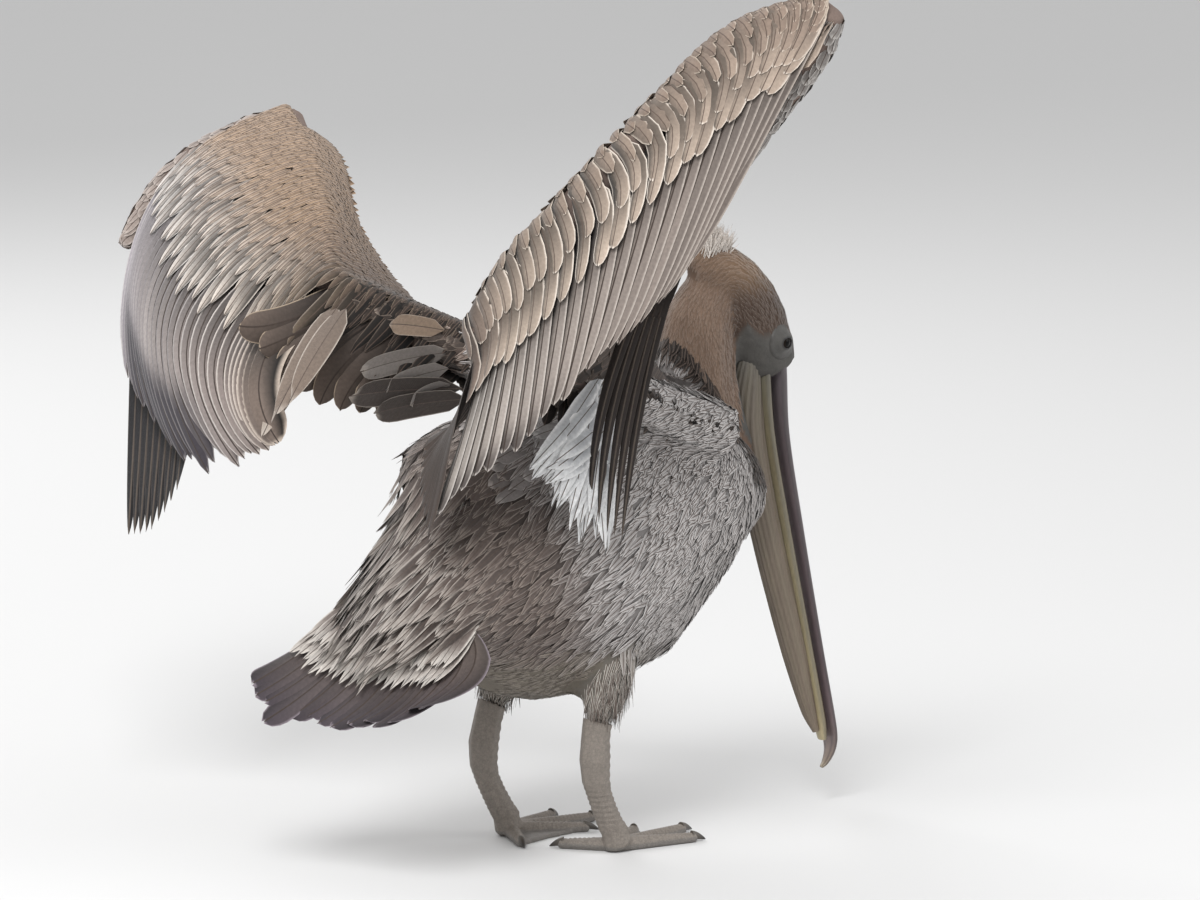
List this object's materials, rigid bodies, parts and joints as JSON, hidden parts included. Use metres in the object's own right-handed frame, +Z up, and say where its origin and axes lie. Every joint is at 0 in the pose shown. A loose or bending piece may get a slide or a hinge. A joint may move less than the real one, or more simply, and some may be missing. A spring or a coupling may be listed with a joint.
{
  "type": "brown pelican, a still life-size model",
  "caption": "Young brown pelican standing on webbed feet, both wings lifted half folded, head drawn down and bill pointing at the ground.",
  "frame": {"origin": "middle of the whole bird's footprint on the floor it stands on", "axes": "+X forward, +Y the bird's left, +Z up"},
  "size_m": [0.5136, 0.718, 0.6634],
  "materials": {
    "plumage": "soft overlapping body feathers, grey-brown above and dull white below",
    "flight_feathers": "smooth matt feather vanes with pale edges, blackish in the primaries and tail",
    "bill": "satin horn and bare pouch skin, purplish grey to olive",
    "leg_skin": "fine-scaled grey skin",
    "claw": "worn dark horn",
    "eye": "wet polished dark eye"
  },
  "bodies": {
    "root": {"trunk": "plumage", "neck_lower": "plumage", "neck_upper": "plumage", "eye_left": "eye", "eye_right": "eye", "head": "plumage", "bill_upper": "bill", "bill_lower": "bill", "pouch": "bill", "thigh_left": "plumage", "shank_left": "leg_skin", "foot_left": "leg_skin", "claw_inner_left": "claw", "claw_middle_left": "claw", "claw_outer_left": "claw", "claw_hind_left": "claw", "upper_arm_left": "plumage", "forearm_left": "plumage", "hand_left": "plumage", "secondaries_left": "flight_feathers", "wing_web_left": "plumage", "primaries_left": "flight_feathers", "tertials_left": "flight_feathers", "thigh_right": "plumage", "shank_right": "leg_skin", "foot_right": "leg_skin", "claw_inner_right": "claw", "claw_middle_right": "claw", "claw_outer_right": "claw", "claw_hind_right": "claw", "upper_arm_right": "plumage", "forearm_right": "plumage", "hand_right": "plumage", "secondaries_right": "flight_feathers", "wing_web_right": "plumage", "primaries_right": "flight_feathers", "tertials_right": "flight_feathers", "tail": "flight_feathers"}
  },
  "joints": []
}
